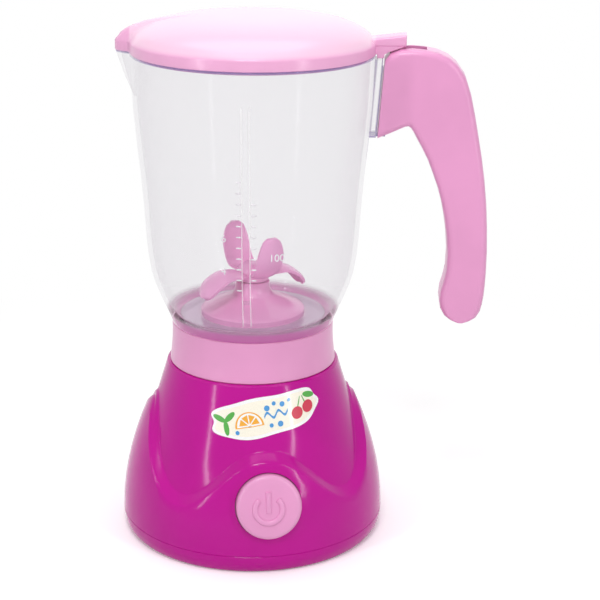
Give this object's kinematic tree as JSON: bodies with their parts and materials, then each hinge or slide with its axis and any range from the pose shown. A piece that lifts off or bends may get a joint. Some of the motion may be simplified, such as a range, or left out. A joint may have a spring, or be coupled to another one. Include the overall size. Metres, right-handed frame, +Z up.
{
  "type": "toy blender",
  "caption": "Toy blender with a pink base, one push button, a clear lift-off jug with a handle, a turning blade and a domed lid",
  "frame": {"origin": "centre of the face that the base stands on, on the axis of the jug", "axes": "+Z up, -Y towards the push button, +X to the right when the button is seen from the front"},
  "size_m": [0.1452, 0.1092, 0.2091],
  "materials": {
    "magenta_plastic": "smooth gloss",
    "pink_plastic": "smooth gloss",
    "pale_pink_plastic": "smooth gloss",
    "clear_plastic": "clear, slightly lilac tint",
    "white_plastic": "moulded",
    "black_plastic": "moulded",
    "steel": "plain",
    "brass": "turned",
    "cell_wrap": "printed wrap, plain"
  },
  "bodies": {
    "base": {"base_housing": "magenta_plastic", "bottom_cover": "magenta_plastic", "battery_door": "magenta_plastic", "door_screw": "steel", "housing_screws": "steel", "batteries": "cell_wrap", "contact_plates": "steel", "contact_springs": "steel", "motor_can": "steel", "motor_holder": "white_plastic", "holder_screws": "steel", "switch_body": "black_plastic", "switch_carrier": "white_plastic", "carrier_screws": "steel", "jug_seat": "magenta_plastic"},
    "button": {"power_button": "pink_plastic", "switch_plunger": "black_plastic"},
    "rotor": {"motor_shaft": "steel", "drive_coupling": "white_plastic"},
    "jug": {"collar": "pink_plastic", "jar": "clear_plastic", "jar_handle": "pink_plastic", "blade_seat": "pink_plastic", "spindle_bushes": "brass"},
    "blade": {"blade_spindle": "steel", "jug_coupling": "white_plastic", "impeller": "pink_plastic"},
    "lid": {"lid": "pale_pink_plastic"}
  },
  "joints": [
    {"name": "button_press", "type": "slide", "parent": "base", "child": "button", "axis": [0, 0.9781, -0.2079], "range_m": [0, 0.002], "stiffness_N_per_m": 400},
    {"name": "motor_spin", "type": "hinge", "parent": "base", "child": "rotor", "pos_m": [0, 0, 0.065], "axis": [0, 0, 1], "continuous": true},
    {"name": "jug_lift", "type": "slide", "parent": "base", "child": "jug", "axis": [0, 0, 1], "range_m": [0, 0.04]},
    {"name": "blade_spin", "type": "hinge", "parent": "jug", "child": "blade", "pos_m": [0, 0, 0.095], "axis": [0, 0, 1], "continuous": true},
    {"name": "lid_lift", "type": "slide", "parent": "jug", "child": "lid", "axis": [0, 0, 1], "range_m": [0, 0.025]}
  ],
  "couplings": [
    {"joint": "blade_spin", "follows": "motor_spin", "ratio": 1}
  ]
}
